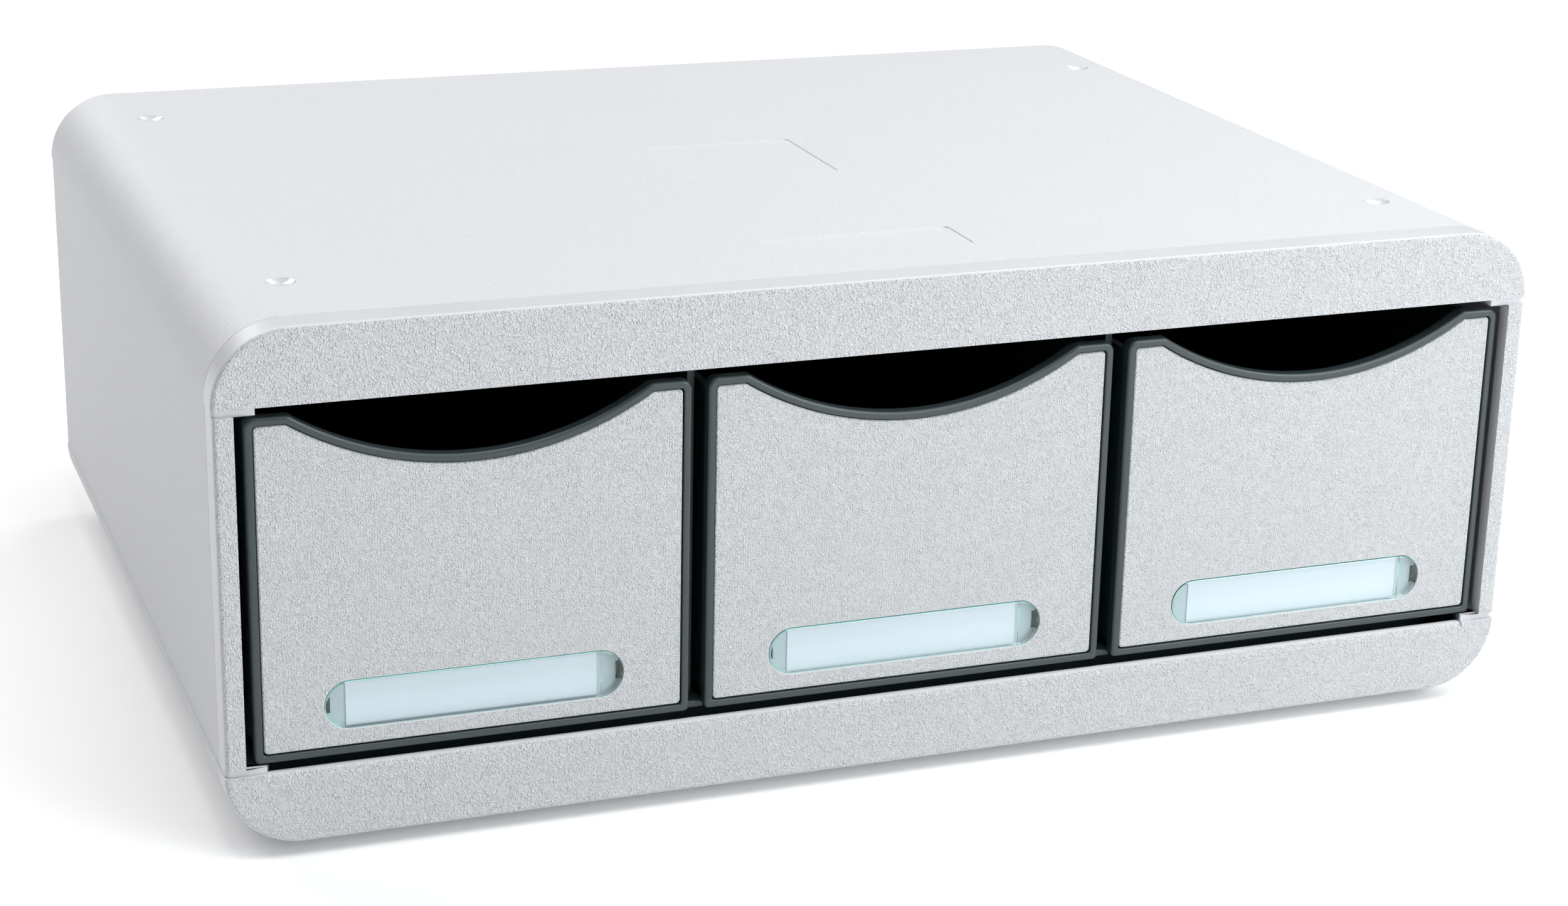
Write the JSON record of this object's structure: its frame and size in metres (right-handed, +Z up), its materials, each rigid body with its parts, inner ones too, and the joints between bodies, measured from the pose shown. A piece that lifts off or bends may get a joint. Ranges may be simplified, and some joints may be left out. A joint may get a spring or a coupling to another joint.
{
  "type": "desktop file drawer",
  "caption": "Rounded plastic desktop drawer casing with drawers side by side, each with a finger scoop, a dark rim and a clear label window.",
  "frame": {"origin": "on the desk, under the middle of the casing (bottom centre of the bounding box)", "axes": "the drawers open towards -Y, +X is to the right as seen from the front, +Z is up"},
  "size_m": [0.355, 0.27, 0.135],
  "materials": {
    "casing_plastic": "fine grain, satin",
    "dark_plastic": "satin",
    "clear_plastic": "clear, polished",
    "card": "uncoated card",
    "foot_rubber": "matt"
  },
  "bodies": {
    "casing": {"top_shell": "casing_plastic", "bottom_shell": "casing_plastic", "left_side_panel": "casing_plastic", "right_side_panel": "casing_plastic", "rear_panel": "casing_plastic", "chassis_floor": "dark_plastic", "left_divider": "dark_plastic", "right_divider": "dark_plastic", "foot_front_left": "foot_rubber", "foot_front_right": "foot_rubber", "foot_rear_left": "foot_rubber", "foot_rear_right": "foot_rubber"},
    "left_drawer": {"left_drawer_tray": "dark_plastic", "left_front_plate": "casing_plastic", "left_label_window": "clear_plastic", "left_label_card": "card"},
    "middle_drawer": {"middle_drawer_tray": "dark_plastic", "middle_front_plate": "casing_plastic", "middle_label_window": "clear_plastic", "middle_label_card": "card"},
    "right_drawer": {"right_drawer_tray": "dark_plastic", "right_front_plate": "casing_plastic", "right_label_window": "clear_plastic", "right_label_card": "card"}
  },
  "joints": [
    {"name": "left_drawer_slide", "type": "slide", "parent": "casing", "child": "left_drawer", "axis": [0, -1, 0], "range_m": [0, 0.195]},
    {"name": "middle_drawer_slide", "type": "slide", "parent": "casing", "child": "middle_drawer", "axis": [0, -1, 0], "range_m": [0, 0.195]},
    {"name": "right_drawer_slide", "type": "slide", "parent": "casing", "child": "right_drawer", "axis": [0, -1, 0], "range_m": [0, 0.195]}
  ]
}
